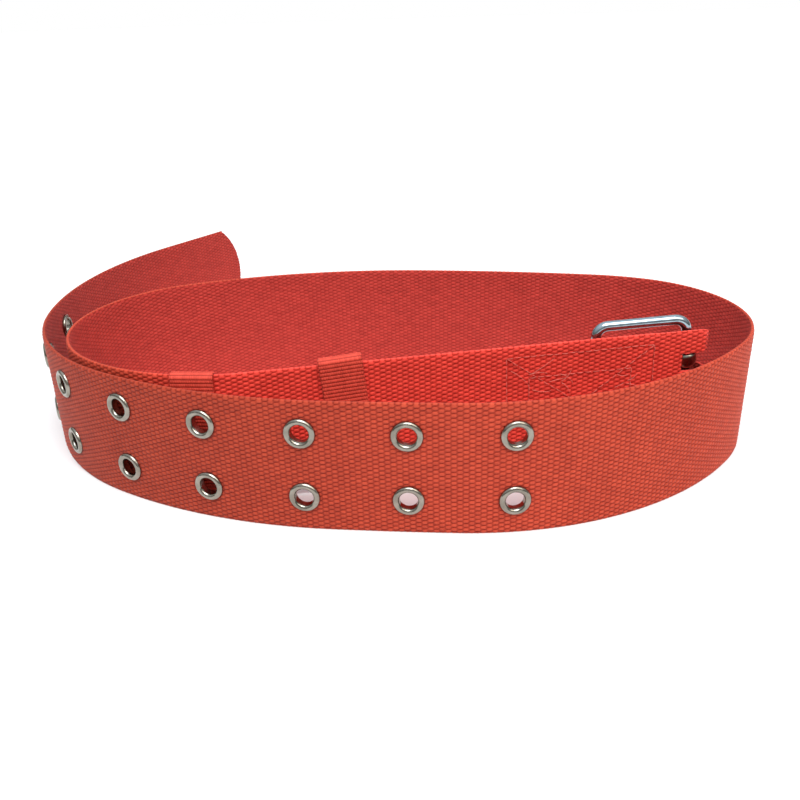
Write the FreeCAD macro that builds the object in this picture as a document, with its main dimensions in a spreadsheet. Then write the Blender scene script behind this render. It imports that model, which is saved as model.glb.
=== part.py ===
"""Webbing work belt, rolled into a coil and standing on its edge, with a two-prong buckle.

The strap is one length of webbing. It is made here as pieces that meet end to end, in the
order of its run: the free end, the length with the eyelets, the outer wrap, the inner turn
and the buckle end, which is folded round the buckle's heel bar and sewn down. The wrap and
the turn are divided further, so that no piece bends far round the space inside the coil.

Millimetres, +Z up. The strap stands on z = 0, and the coil's plan is centred on the origin.
"""
import FreeCAD, Part
import math
import os

doc = FreeCAD.newDocument("WorkBelt")
sheet = doc.addObject("Spreadsheet::Sheet", "Sizes")

# alias, value in millimetres or degrees, what it measures
SIZES = [
    ("strap_width", 50.0, "webbing width"),
    ("strap_thick", 1.6, "webbing thickness"),
    ("start_heading", 235.4, "plan direction in which the run leaves the tip"),
    ("tip_radius", 32.0, "radius of the curved cut across the tip"),
    ("first_column", 151.5, "tip to the first pair of eyelets, along the strap"),
    ("column_pitch", 36.7, "from one pair of eyelets to the next"),
    ("column_count", 8, "pairs of eyelets"),
    ("row_centre", 25.5, "height midway between the two rows"),
    ("row_half_gap", 12.5, "from there to either row"),
    ("piece_margin", 18.0, "from an outer eyelet to the end of its length of strap"),
    ("crimp_depth", 0.2, "how far a flange sinks into each face of the webbing"),
    ("bore_radius", 3.3, "clear hole through an eyelet"),
    ("barrel_radius", 3.9, "outside of the eyelet's barrel"),
    ("flange_radius", 5.7, "outside of the domed flange"),
    ("washer_radius", 5.3, "outside of the washer"),
    ("washer_thick", 0.6, "washer thickness"),
    ("lip_radius", 4.9, "outside of the lip rolled over the washer"),
    ("turn_lift", 1.3, "height that the strap gains through the inner turn"),
    ("bar_lift", 6.4, "height of its lower edge at the fold"),
    ("fold_radius", 4.1, "mid-line radius of the fold round the heel bar"),
    ("layer_gap", 0.2, "gap between the two sewn layers"),
    ("fold_slope", 25.0, "angle at which the back layer closes on the front one"),
    ("fold_ease", 12.0, "radius of the bend where the two layers meet"),
    ("back_layer", 66.0, "length of the back layer that lies flat"),
    ("bar_slack", 1.6, "fold's centre to the heel bar, which lies loose in it"),
    ("bar_inside", 3.3, "strap's mid-line to the heel bar's axis"),
    ("slot_front", 6.2, "fold's centre to the slot's end in the front layer"),
    ("slot_back", 13.0, "fold's centre to the slot's end in the back layer"),
    ("slot_width", 7.0, "width of each prong slot"),
    ("stitch_start", 16.0, "fold's centre to the box stitch"),
    ("stitch_length", 56.0, "length of the box stitch"),
    ("stitch_margin", 4.0, "box stitch to the strap's edges"),
    ("stitch_inset", 8.5, "outer rectangle of the box stitch to the inner one"),
    ("thread_width", 0.9, "width of a line of stitches"),
    ("thread_sunk", 0.4, "depth of the thread in the webbing's faces"),
    ("thread_proud", 0.3, "height of the thread above them"),
    ("wire_radius", 1.9, "buckle wire radius"),
    ("frame_length", 34.0, "heel bar to far bar, centre to centre"),
    ("frame_height", 55.6, "centre to centre of the long sides"),
    ("frame_corner", 4.5, "centre-line radius of the frame's corners"),
    ("floor_gap", 0.2, "floor to the frame's lowest corner"),
    ("fold_back", 175.2, "swing of the frame from straight out to folded back"),
    ("frame_lean", 3.6, "lean of the heel bar towards the far bar, which hangs lower"),
    ("curl_bore", 1.98, "inside radius of a prong's curl"),
    ("curl_radius", 4.2, "outside radius of a prong's curl"),
    ("curl_width", 5.6, "width of a prong's curl"),
    ("prong_radius", 1.5, "radius of a prong's tongue"),
    ("prong_side", 3.65, "tongue's centre line to the heel bar's axis"),
    ("prong_reach", 36.5, "heel bar to the centre of the prong's round tip"),
    ("keeper_width", 15.8, "keeper width, along the strap"),
    ("keeper_thick", 0.8, "keeper webbing thickness"),
    ("keeper_snug", 0.7, "play of the snug keeper on the strap's faces"),
    ("keeper_edge", 0.3, "its play on the strap's edges"),
    ("keeper_loose", 0.9, "play of the loose keeper on the strap's faces"),
    ("loose_height", 53.2, "inside height of the loose keeper"),
    ("loose_tilt", 5.5, "lean of the loose keeper"),
    ("snug_station", 187.0, "fold's centre to the snug keeper, along the strap"),
    ("snug_shift", 0.3, "inward shift of the snug keeper, where the strap bends"),
    ("loose_station", 131.6, "fold's centre to the loose keeper"),
]

# The strap's mid-line from the tip to the fold's centre: (length) of a straight run, or
# (radius, degrees) of a left-hand bend. Every bend is tangent to its neighbours.
TAIL = [(54.0,), (154.0, 43.6), (99.0, 47.0)]
FRONT_WALL = [(197.0, 26.5), (1080.0, 2.4), (130.0, 55.5)]
RIGHT_CURVE = [(55.0, 100.4), (94.0, 14.5)]
BACK_WALL = [(680.0, 7.1), (231.0, 27.4)]
INNER_TURN = [(57.2, 116.7), (74.5, 49.0)]
CHORD = [(173.0,)]

for row, (alias, value, meaning) in enumerate(SIZES, start=1):
    sheet.set("A%d" % row, meaning)
    sheet.set("B%d" % row, str(value))
    sheet.setAlias("B%d" % row, alias)
doc.recompute()


def size(alias):
    """The number held in the sheet under this alias."""
    return float(sheet.get(alias))


def bind(thing, **properties):
    """Bind properties of a document object to expressions of the sheet's aliases."""
    for name, expression in properties.items():
        thing.setExpression(name, expression)
    return thing


WIDTH = size("strap_width")
HALF = size("strap_thick") / 2
HALF_TURN = 180.0
QUARTER_TURN = 90.0
FAR = 400.0  # beyond the whole belt, for tools that cut right through it
CLEAR = 10.0  # past one edge or face of the strap
FIT = 0.05  # gap round a flange in its dent
LIFT = 0.1  # floor to the lowest point of a keeper
SAME = 1e-6  # two distances closer than this are one


def fold_stretches():
    """The run goes on round the heel bar and back along the strap as the back layer."""
    radius = size("fold_radius")
    slope = size("fold_slope")
    ease = size("fold_ease")
    across = 2 * HALF + size("layer_gap")
    lean = math.radians(slope)
    drop = radius * (1 + math.cos(lean)) - ease * (1 - math.cos(lean)) - across
    return [(radius, HALF_TURN + slope), (drop / math.sin(lean),), (-ease, -slope), (size("back_layer"),)]


ROUTE = TAIL + FRONT_WALL + RIGHT_CURVE + BACK_WALL + INNER_TURN + CHORD + fold_stretches()


def stretch_length(stretch):
    if len(stretch) == 1:
        return stretch[0]
    radius, degrees = stretch
    return radius * math.radians(degrees)


def run_length(stretches):
    return sum(stretch_length(stretch) for stretch in stretches)


def along(x, y, heading, stretch, distance):
    """Plan point and heading after this distance along a stretch that starts at x, y."""
    if len(stretch) == 1:
        return x + distance * math.cos(heading), y + distance * math.sin(heading), heading
    radius = stretch[0]
    end = heading + distance / radius
    x += radius * (math.sin(end) - math.sin(heading))
    y -= radius * (math.cos(end) - math.cos(heading))
    return x, y, end


def station(distance):
    """Plan point and heading of the strap's mid-line at a distance from the tip."""
    x, y, heading = route_start
    for stretch in ROUTE:
        length = stretch_length(stretch)
        if distance <= length or stretch is ROUTE[-1]:
            return along(x, y, heading, stretch, distance)
        x, y, heading = along(x, y, heading, stretch, length)
        distance -= length


def beside(distance, offset, height=0.0):
    """Point at this offset to the left of the mid-line, and this height."""
    x, y, heading = station(distance)
    return FreeCAD.Vector(x - offset * math.sin(heading), y + offset * math.cos(heading), height)


def breaks(first, last):
    """Distances from first to last, with the ends of the stretches between them."""
    marks = [first]
    end = 0.0
    for stretch in ROUTE:
        end += stretch_length(stretch)
        if first + SAME < end < last - SAME:
            marks.append(end)
    return marks + [last]


def lengths(first, last):
    """Start and end of lengths that each lie in one stretch and turn 60 degrees or less."""
    sharpest = math.radians(60.0)
    marks = breaks(first, last)
    for start, end in zip(marks, marks[1:]):
        bend = abs(station(end)[2] - station(start)[2])
        parts = max(1, math.ceil(bend / sharpest))
        for part in range(parts):
            yield start + (end - start) * part / parts, start + (end - start) * (part + 1) / parts


def face_edges(first, last, offset, height):
    """Arcs and lines along one face of the strap between two distances from the tip."""
    edges = []
    marks = breaks(first, last)
    for start, end in zip(marks, marks[1:]):
        a, middle, b = (beside(d, offset, height) for d in (start, (start + end) / 2, end))
        straight = (b - a).Length
        if (middle - (a + b) / 2).Length < 1e-6 * straight:
            edges.append(Part.LineSegment(a, b).toShape())
        else:
            edges.append(Part.Arc(a, middle, b).toShape())
    return edges


def ribbon(first, last, height=0.0):
    """The strap's plan between two distances from the tip, as a face."""
    outer = face_edges(first, last, -HALF, height)
    inner = face_edges(first, last, HALF, height)
    caps = []
    for distance in (first, last):
        across = Part.LineSegment(beside(distance, -HALF, height), beside(distance, HALF, height))
        caps.append(across.toShape())
    return Part.Face(Part.Wire(Part.__sortEdges__(outer + inner + caps)))


# The plan is laid out from the origin first, to find its centre, then moved onto it.
route_start = (0.0, 0.0, math.radians(size("start_heading")))
TOTAL = run_length(ROUTE)
plan_box = ribbon(0.0, TOTAL).BoundBox
route_start = (-plan_box.Center.x, -plan_box.Center.y, route_start[2])

TURN_START = run_length(TAIL + FRONT_WALL + RIGHT_CURVE + BACK_WALL)
CHORD_START = TURN_START + run_length(INNER_TURN)
BAR = CHORD_START + run_length(CHORD)
FIRST_COLUMN = size("first_column")
COLUMNS = [FIRST_COLUMN + i * size("column_pitch") for i in range(int(size("column_count")))]
ROWS = {"lower": -1, "upper": 1}
EYELETS_START = COLUMNS[0] - size("piece_margin")
EYELETS_END = COLUMNS[-1] + size("piece_margin")
CHORD_HEADING = math.degrees(station(BAR)[2])
CHORD_SLOPE = math.degrees(math.atan2(size("bar_lift") - size("turn_lift"), BAR - CHORD_START))

sub_parts = []


def keep(thing, label):
    """Name a finished sub-part."""
    thing.Label = label
    sub_parts.append(thing)
    return thing


def feature(name, shape):
    thing = doc.addObject("Part::Feature", name)
    thing.Shape = shape
    return thing


def place(thing, base, rotation):
    thing.Placement = FreeCAD.Placement(base, rotation)
    return thing


def turned(axis, degrees):
    return FreeCAD.Rotation(FreeCAD.Vector(*axis), degrees)


def cut(name, base, tool):
    thing = doc.addObject("Part::Cut", name)
    thing.Base = base
    thing.Tool = tool
    return thing


def common(name, base, tool):
    thing = doc.addObject("Part::Common", name)
    thing.Base = base
    thing.Tool = tool
    return thing


def fuse(name, *pieces):
    thing = doc.addObject("Part::MultiFuse", name)
    thing.Shapes = list(pieces)
    return thing


def cylinder(name, radius, height, base, rotation):
    """A cylinder along its placement's own Z, with radius and height as sheet expressions."""
    thing = doc.addObject("Part::Cylinder", name)
    bind(thing, Radius=radius, Height=height)
    return place(thing, base, rotation)


def block(name, corner, rotation, **sides):
    """A box from one corner, with Length, Width and Height as sheet expressions."""
    thing = doc.addObject("Part::Box", name)
    bind(thing, **sides)
    return place(thing, corner, rotation)


def raised(name, outline, height):
    """A plan outline raised to a height given as a sheet expression."""
    thing = doc.addObject("Part::Extrusion", name)
    thing.Base = outline
    thing.Dir = FreeCAD.Vector(0, 0, 1)
    thing.DirMode = "Custom"
    thing.Solid = True
    bind(thing, LengthFwd=height)
    return thing


def upright_strip(name, first, last):
    return raised(name, feature(name + "_plan", ribbon(first, last)), "Sizes.strap_width")


def sloped_strip(name, first, last, slab_at, slab_rotation):
    """A strip whose two edges lie on the faces of a slab that leans over the floor."""
    plan = feature(name + "_plan", ribbon(first, last, -CLEAR))
    tall = raised(name + "_tall", plan, "Sizes.strap_width + Sizes.bar_lift + %g" % (2 * CLEAR))
    slab = doc.addObject("Part::Box", name + "_slab")
    slab.Length = 2 * FAR
    slab.Width = 2 * FAR
    bind(slab, Height="Sizes.strap_width")
    middle = slab_rotation.multVec(FreeCAD.Vector(-FAR, -FAR, 0))
    place(slab, slab_at + middle, slab_rotation)
    return common(name, tall, slab)


def free_end():
    """The tail, with a curved cut across its tip."""
    strip = upright_strip("tail_strip", 0.0, EYELETS_START)
    radius = size("tip_radius")
    shoulder = radius - math.sqrt(radius ** 2 - (WIDTH / 2) ** 2)
    low, high = (FreeCAD.Vector(shoulder, 0, z) for z in (0, WIDTH))
    low_far, high_far = (FreeCAD.Vector(FAR, 0, z) for z in (0, WIDTH))
    edges = [
        Part.Arc(low, FreeCAD.Vector(0, 0, WIDTH / 2), high).toShape(),
        Part.LineSegment(high, high_far).toShape(),
        Part.LineSegment(high_far, low_far).toShape(),
        Part.LineSegment(low_far, low).toShape(),
    ]
    side_view = Part.Face(Part.Wire(edges))
    side_view.translate(FreeCAD.Vector(0, -FAR, 0))
    pattern = feature("tip_pattern", side_view.extrude(FreeCAD.Vector(0, 2 * FAR, 0)))
    place(pattern, beside(0.0, 0.0), turned((0, 0, 1), size("start_heading")))
    keep(common("free_end", strip, pattern), "strap_free_end")


def outward(distance):
    """Rotation that turns +Z to the strap's outer side at this distance from the tip."""
    heading = math.degrees(station(distance)[2])
    return turned((0, 0, 1), heading).multiply(turned((1, 0, 0), QUARTER_TURN))


def eyelet_spots():
    """Name, distance from the tip and height of every eyelet."""
    for number, distance in enumerate(COLUMNS, start=1):
        for row, side in ROWS.items():
            height = size("row_centre") + side * size("row_half_gap")
            yield "%s_%d" % (row, number), distance, height


def punch(name, distance, height):
    """Tool for one eyelet: its hole, and the dents that its flanges press in both faces."""
    rotation = outward(distance)
    hole = cylinder(name + "_hole", "Sizes.barrel_radius", "3 * Sizes.strap_thick",
                    beside(distance, 3 * HALF, height), rotation)
    dent = size("crimp_depth")
    outer = cylinder(name + "_outer_dent", "Sizes.flange_radius + %g" % FIT, "Sizes.strap_thick",
                     beside(distance, dent - HALF, height), rotation)
    inner = cylinder(name + "_inner_dent", "Sizes.washer_radius + %g" % FIT, "Sizes.strap_thick",
                     beside(distance, 3 * HALF - dent, height), rotation)
    return fuse(name, hole, outer, inner)


def eyelet_length():
    strip = upright_strip("eyelet_strip", EYELETS_START, EYELETS_END)
    tools = [punch("punch_" + name, distance, height) for name, distance, height in eyelet_spots()]
    keep(cut("eyelet_length", strip, fuse("punches", *tools)), "strap_eyelet_length")


def half_ring(name, outside, base, rotation):
    """A domed ring from the bore out to a radius, standing on its flat side."""
    ring = doc.addObject("Part::Torus", name)
    bind(ring,
         Radius1="(Sizes.bore_radius + %s) / 2" % outside,
         Radius2="(%s - Sizes.bore_radius) / 2" % outside)
    ring.Angle1 = -HALF_TURN
    ring.Angle2 = 0
    return place(ring, base, rotation)


def eyelet(name, distance, height):
    """A barrel with a domed flange outside and a lip rolled over the washer inside."""
    rotation = outward(distance)
    inward = rotation.multiply(turned((1, 0, 0), HALF_TURN))
    face = HALF - size("crimp_depth")
    outer_face = beside(distance, -face, height)
    washer_face = beside(distance, face + size("washer_thick"), height)
    length = "Sizes.strap_thick - 2 * Sizes.crimp_depth + Sizes.washer_thick"
    tube = cut(name + "_barrel",
               cylinder(name + "_barrel_out", "Sizes.barrel_radius", length, washer_face, rotation),
               cylinder(name + "_barrel_in", "Sizes.bore_radius", length, washer_face, rotation))
    flange = half_ring(name + "_flange", "Sizes.flange_radius", outer_face, rotation)
    lip = half_ring(name + "_lip", "Sizes.lip_radius", washer_face, inward)
    keep(fuse(name + "_eyelet", tube, flange, lip), "eyelet_" + name)


def washer(name, distance, height):
    """The flat ring that the eyelet's lip is rolled over, on the strap's inner face."""
    rotation = outward(distance)
    face = HALF - size("crimp_depth")
    at = beside(distance, face + size("washer_thick"), height)
    disc = cylinder(name + "_disc", "Sizes.washer_radius", "Sizes.washer_thick", at, rotation)
    hole = cylinder(name + "_eye", "Sizes.barrel_radius", "Sizes.washer_thick", at, rotation)
    keep(cut(name + "_washer", disc, hole), "washer_" + name)


def outer_wrap():
    """The rest of the front wall, the right-hand curve and the back wall."""
    for number, (first, last) in enumerate(lengths(EYELETS_END, TURN_START), start=1):
        keep(upright_strip("wrap_%d" % number, first, last), "strap_wrap_%d" % number)


def inner_turn():
    """The turn rises from the floor as it comes round from the back wall to the chord."""
    start = beside(TURN_START, 0.0)
    end = beside(CHORD_START, 0.0)
    lean = math.degrees(math.atan2(size("turn_lift"), start.y - end.y))
    for number, (first, last) in enumerate(lengths(TURN_START, CHORD_START), start=1):
        strip = sloped_strip("turn_%d" % number, first, last, start, turned((1, 0, 0), -lean))
        keep(strip, "strap_turn_%d" % number)


def chord_frame():
    """Rotation whose X runs up along the chord, towards the heel bar."""
    return turned((0, 0, 1), CHORD_HEADING).multiply(turned((0, 1, 0), -CHORD_SLOPE))


def on_chord(before_bar, offset, height):
    """Point by its distance before the heel bar, offset to the left and height up the strap."""
    base = beside(BAR, offset, size("bar_lift"))
    return base + chord_frame().multVec(FreeCAD.Vector(-before_bar, 0, height))


def slot(name, side):
    """Tool for a prong slot, cut through the fold and back into both layers."""
    height = WIDTH / 2 + side * size("row_half_gap") - size("slot_width") / 2
    deep = "Sizes.fold_radius + %g" % CLEAR
    front = block(name + "_front", on_chord(size("slot_front"), -CLEAR, height), chord_frame(),
                  Length="Sizes.slot_front + %g" % CLEAR, Width=deep, Height="Sizes.slot_width")
    back = block(name + "_back", on_chord(size("slot_back"), size("fold_radius"), height), chord_frame(),
                 Length="Sizes.slot_back + %g" % CLEAR, Width=deep, Height="Sizes.slot_width")
    return fuse(name, front, back)


def stitch_row(a, b, base):
    """One straight row of stitches on a face, between (distance before the bar, height) points."""
    wide = size("thread_width")
    run = math.hypot(b[0] - a[0], b[1] - a[1])
    deep = size("thread_sunk") + size("thread_proud")
    bar = Part.makeBox(run + wide, deep, wide, FreeCAD.Vector(-wide / 2, 0, -wide / 2))
    rise = math.degrees(math.atan2(b[1] - a[1], a[0] - b[0]))
    along_row = chord_frame().multiply(turned((0, 1, 0), -rise))
    return place(feature("stitches", bar), on_chord(a[0], base, a[1]), along_row)


def rectangle(far, near, bottom, top):
    """Corners of a rectangle, as (distance before the bar, height) points in order."""
    return [(far, bottom), (near, bottom), (near, top), (far, top)]


def box_stitch():
    """Thread: two rectangles and a cross on each face, joined through both layers at the corners."""
    start = size("stitch_start")
    inset = size("stitch_inset")
    low = size("stitch_margin")
    far = start + size("stitch_length")
    outer_box = rectangle(far, start, low, WIDTH - low)
    inner_box = rectangle(far - inset, start + inset, low + inset, WIDTH - low - inset)
    rows = [(outer_box[0], outer_box[2]), (outer_box[1], outer_box[3])]
    for corners in (outer_box, inner_box):
        rows += zip(corners, corners[1:] + corners[:1])
    proud = size("thread_proud")
    front = -HALF - proud
    back = 3 * HALF + size("layer_gap") - size("thread_sunk")
    pieces = [stitch_row(a, b, base) for base in (front, back) for a, b in rows]
    for number, (before_bar, height) in enumerate(outer_box + inner_box):
        at = on_chord(before_bar, front, height)
        pieces.append(cylinder("needle_%d" % number, "Sizes.thread_width / 2",
                               "2 * Sizes.strap_thick + Sizes.layer_gap + 2 * Sizes.thread_proud",
                               at, chord_frame().multiply(turned((1, 0, 0), -QUARTER_TURN))))
    return keep(fuse("box_stitch", *pieces), "box_stitch_thread")


def buckle_end():
    """The chord, the fold round the heel bar with its two slots, and the sewn back layer."""
    start = beside(CHORD_START, 0.0, size("turn_lift"))
    strip = sloped_strip("buckle_strip", CHORD_START, TOTAL, start, chord_frame())
    slots = [slot("slot_" + row, side) for row, side in ROWS.items()]
    keep(cut("buckle_end", strip, fuse("openings", box_stitch(), *slots)), "strap_buckle_end")


def frame_rotation():
    """Rotation whose X runs from the heel bar to the frame's far bar, and Z up the heel bar."""
    swing = turned((0, 0, 1), CHORD_HEADING + size("fold_back"))
    return swing.multiply(turned((0, 1, 0), size("frame_lean")))


def at_frame(x, y, z):
    """Point by the frame's own axes, from the heel bar midway between the prongs."""
    middle = on_chord(size("bar_slack"), size("bar_inside"), WIDTH / 2)
    return middle + frame_rotation().multVec(FreeCAD.Vector(x, y, z))


def buckle_frame():
    """A rectangle of round wire with bent corners. One upright is the heel bar."""
    corner = size("frame_corner")
    length = size("frame_length")
    lean = math.radians(size("frame_lean"))
    lowest = size("floor_gap") + size("wire_radius") + length * math.sin(lean)
    low = (lowest - at_frame(0, 0, 0).z) / math.cos(lean)
    high = low + size("frame_height")
    turn = frame_rotation()
    flat = turn.multiply(turned((0, 1, 0), QUARTER_TURN))
    pieces = []
    for name, x in (("heel_bar", 0), ("far_bar", length)):
        pieces.append(cylinder(name, "Sizes.wire_radius", "Sizes.frame_height - 2 * Sizes.frame_corner",
                               at_frame(x, 0, low + corner), turn))
    for name, z in (("low_side", low), ("high_side", high)):
        pieces.append(cylinder(name, "Sizes.wire_radius", "Sizes.frame_length - 2 * Sizes.frame_corner",
                               at_frame(corner, 0, z), flat))
    centres = [(length - corner, high - corner), (corner, high - corner),
               (corner, low + corner), (length - corner, low + corner)]
    for number, (x, z) in enumerate(centres):
        bend = doc.addObject("Part::Torus", "corner_%d" % number)
        bind(bend, Radius1="Sizes.frame_corner", Radius2="Sizes.wire_radius")
        bend.Angle3 = QUARTER_TURN
        upright = turned((1, 0, 0), QUARTER_TURN).multiply(turned((0, 0, 1), QUARTER_TURN * number))
        pieces.append(place(bend, at_frame(x, 0, z), turn.multiply(upright)))
    keep(fuse("frame_wire", *pieces), "buckle_frame")


def prong(row, side):
    """A tongue with a round tip, curled at its root round the heel bar."""
    height = side * size("row_half_gap")
    low = height - size("curl_width") / 2
    turn = frame_rotation()
    curl = cylinder("curl_" + row, "Sizes.curl_radius", "Sizes.curl_width", at_frame(0, 0, low), turn)
    side_line = -size("prong_side")
    tongue = cylinder("tongue_" + row, "Sizes.prong_radius", "Sizes.prong_reach",
                      at_frame(0, side_line, height), turn.multiply(turned((0, 1, 0), QUARTER_TURN)))
    tip = doc.addObject("Part::Sphere", "tip_" + row)
    bind(tip, Radius="Sizes.prong_radius")
    place(tip, at_frame(size("prong_reach"), side_line, height), turn)
    bore = cylinder("curl_bore_" + row, "Sizes.curl_bore", "Sizes.curl_width", at_frame(0, 0, low), turn)
    keep(cut("prong_" + row, fuse("prong_blank_" + row, curl, tongue, tip), bore), "prong_" + row)


def keeper(label, before_bar, shift, height, play, inside, lean):
    """A loop of thin webbing round the strap. It leans by turning about its own middle."""
    heading = station(BAR - before_bar)[2]
    thick = size("keeper_thick")
    wide = size("keeper_width")
    turn = turned((0, 0, 1), math.degrees(heading)).multiply(turned((0, 1, 0), -lean))
    middle = beside(BAR - before_bar, shift, height)

    def tube(deep, tall):
        shape = Part.makeBox(wide, deep, tall, FreeCAD.Vector(-wide / 2, -deep / 2, -tall / 2))
        return place(feature("keeper_block", shape), middle, turn)

    deep = 2 * HALF + 2 * play
    loop = cut(label + "_loop", tube(deep + 2 * thick, inside + 2 * thick), tube(deep, inside))
    keep(loop, label)


def keepers():
    thick = size("keeper_thick")
    edge = size("keeper_edge")
    snug_inside = WIDTH + 2 * edge
    snug_height = thick + snug_inside / 2 + LIFT
    keeper("keeper_snug", size("snug_station"), size("snug_shift"), snug_height, size("keeper_snug"),
           snug_inside, 0.0)
    lean = math.radians(size("loose_tilt"))
    outside = size("loose_height") + 2 * thick
    loose_height = (outside * math.cos(lean) + size("keeper_width") * math.sin(lean)) / 2 + LIFT
    keeper("keeper_loose", size("loose_station"), 0.0, loose_height, size("keeper_loose"),
           size("loose_height"), size("loose_tilt"))


free_end()
eyelet_length()
outer_wrap()
inner_turn()
buckle_end()
for spot in eyelet_spots():
    eyelet(*spot)
    washer(*spot)
buckle_frame()
for row_name, row_side in ROWS.items():
    prong(row_name, row_side)
keepers()
doc.recompute()

for thing in doc.Objects:
    if "Invalid" in thing.State or "Error" in thing.State:
        raise RuntimeError("%s did not recompute" % thing.Name)
for thing in sub_parts:
    if thing.Shape.isNull() or not thing.Shape.isValid():
        raise RuntimeError("%s has no valid shape" % thing.Label)

os.makedirs("parts", exist_ok=True)
for thing in sub_parts:
    thing.Shape.exportStep(os.path.join("parts", thing.Label + ".step"))
    print("%-22s %2d solid  %9.1f mm3" % (thing.Label, len(thing.Shape.Solids), thing.Shape.Volume))
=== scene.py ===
"""Rolled-up webbing work belt: woven strap, keepers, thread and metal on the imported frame."""
import math
import random

import bpy
import numpy as np
from mathutils import Matrix, Vector


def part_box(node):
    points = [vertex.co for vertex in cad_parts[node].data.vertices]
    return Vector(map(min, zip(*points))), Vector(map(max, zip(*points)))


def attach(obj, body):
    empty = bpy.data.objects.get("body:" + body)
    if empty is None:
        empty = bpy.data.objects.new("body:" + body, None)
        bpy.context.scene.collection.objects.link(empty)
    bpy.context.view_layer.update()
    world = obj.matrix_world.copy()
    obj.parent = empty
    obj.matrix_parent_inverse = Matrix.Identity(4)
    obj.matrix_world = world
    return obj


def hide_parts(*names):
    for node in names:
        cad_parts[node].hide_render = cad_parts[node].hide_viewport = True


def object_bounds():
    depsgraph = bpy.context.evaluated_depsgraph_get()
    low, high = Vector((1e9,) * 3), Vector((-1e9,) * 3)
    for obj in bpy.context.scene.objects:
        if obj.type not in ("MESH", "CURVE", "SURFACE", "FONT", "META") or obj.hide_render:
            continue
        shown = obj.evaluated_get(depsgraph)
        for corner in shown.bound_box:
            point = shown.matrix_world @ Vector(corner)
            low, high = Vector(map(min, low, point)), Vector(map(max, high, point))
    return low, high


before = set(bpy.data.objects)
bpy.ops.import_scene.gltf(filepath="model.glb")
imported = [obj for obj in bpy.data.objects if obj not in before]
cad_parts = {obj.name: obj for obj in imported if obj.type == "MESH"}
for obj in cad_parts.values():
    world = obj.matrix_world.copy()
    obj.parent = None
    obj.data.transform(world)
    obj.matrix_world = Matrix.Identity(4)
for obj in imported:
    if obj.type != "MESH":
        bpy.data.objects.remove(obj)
cad_low, cad_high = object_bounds()

# ---- sizes, in metres and degrees: the strap's run is the CAD part's own ----
WIDTH = 0.050
HALF = 0.0008  # half the webbing's thickness
START_HEADING = 235.4
TIP_RADIUS = 0.032  # the tip's rounded end
# stretches of the run: (length,) is straight, and (radius, degrees) turns to the left
TAIL = [(0.054,), (0.154, 43.6), (0.099, 47.0)]
FRONT_WALL = [(0.197, 26.5), (1.080, 2.4), (0.130, 55.5)]
RIGHT_CURVE = [(0.055, 100.4), (0.094, 14.5)]
BACK_WALL = [(0.680, 7.1), (0.231, 27.4)]
INNER_TURN = [(0.0572, 116.7), (0.0745, 49.0)]
CHORD = [(0.173,)]
FOLD_RADIUS = 0.0041  # the fold's mid radius round the heel bar
FOLD_SLOPE = 25.0  # slope at which the strap comes back from the fold to the chord
FOLD_EASE = 0.012  # radius of its bend into the back layer
LAYER_GAP = 0.0002  # between the front and the back layer
BACK_LAYER = 0.066  # length of the back layer
TURN_LIFT = 0.0013  # height of the lower edge where the chord starts
BAR_LIFT = 0.0064  # and at the fold
BAR_SLACK = 0.0016  # fold's centre to the heel bar, which lies loose in it
BAR_INSIDE = 0.0033  # strap's mid-line to the heel bar's axis
FOLD_TIGHT = (0.018, 0.026)  # cloth nearer than this to the fold's middle lies flat, and further doesn't
FOLD_SAG = 0.5  # past the fold the upper edge hangs lower by this share of its distance behind the chord

EYELET_START = 0.1515  # tip to the first pair
EYELET_PITCH = 0.0367
EYELET_RUNS = [EYELET_START + EYELET_PITCH * i for i in range(8)]
EYELET_RISES = [0.0130, 0.0380]
EYELET_CUT = 0.0043  # radius of the hole in the cloth, under the flange and the washer
EYELET_PUCKER = (0.0050, 0.0070)  # the cloth dips to the flange between these radii
SLOT_RISES = [0.0125, 0.0375]
SLOT_WIDTH = 0.007
SLOT_FRONT = 0.0062  # how far before the fold's centre the prong slots reach, in front and behind
SLOT_BACK = 0.0130

PICK_PITCH = 0.00205  # from one weft yarn to the next, along the strap
END_COUNT = 58  # warp yarns across the strap
EDGE = 0.00025  # selvedge roll outside the last warp yarn
CRIMP = 0.00023  # how far a warp yarn rises and falls
ROUND = 0.00030  # roundness of a yarn's back
CROWN = 0.00010  # yarn crowns over the CAD part's flat face
CROWN_UNEVEN = 0.12  # how much crowns differ, as a share of the crimp
TONE_SHIFT = 7  # whole picks, so that a crown's tone doesn't go with its height
YARN_HALF = (0.56, 0.42)  # a yarn's half width in yarn pitches: at mid height, and what its crown adds
SAMPLES = 4  # mesh columns for each weft yarn
UV_BANDS = 4  # the strap's length is laid out in this many bands
PRESSED = -0.00024  # the cloth's height where a flange or a stitch presses it
PRESSED_SHADE = 0.3  # painted shade in the dent: how much less of the weave's crown colour shows there
SELVEDGE_DROP = 0.00022  # how far the faces fall off towards the long edges, and over what width
SELVEDGE_WIDTH = 0.0009
SELVEDGE_RIPPLE = 0.00006  # bumps that the weft makes along the edges
UPPER_BULGE = 2  # the upper edge's rim is this many times fuller than the lower one's
TIGHT_BULGE = 0.6  # how much less the rims and ripples are round the heel bar
RIM_INSET = 0.0001  # rims are this much thinner than the tape on each side
INNER_PLACE = np.array([0.0, 0.07, 0.0])  # shift that gives the inner face its own dye pattern
FADED_TINT = np.array([1.00, 1.05, 0.94])  # outside of the coil, worn and faded
TIP_END_SHADE_TINT = np.array([0.74, 0.77, 0.62])  # painted shade: darker and browner towards the tip, where the front wall's far left turns from the lamps
TIP_END_SHADE_RUNS = (0.25, 0.42)  # the painted shade fades out between these distances from the tip
CHORD_LIGHT_TINT = np.array([1.65, 1.16, 1.55])  # painted light: the sewn end, brighter and redder as where light reaches into the coil
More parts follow.
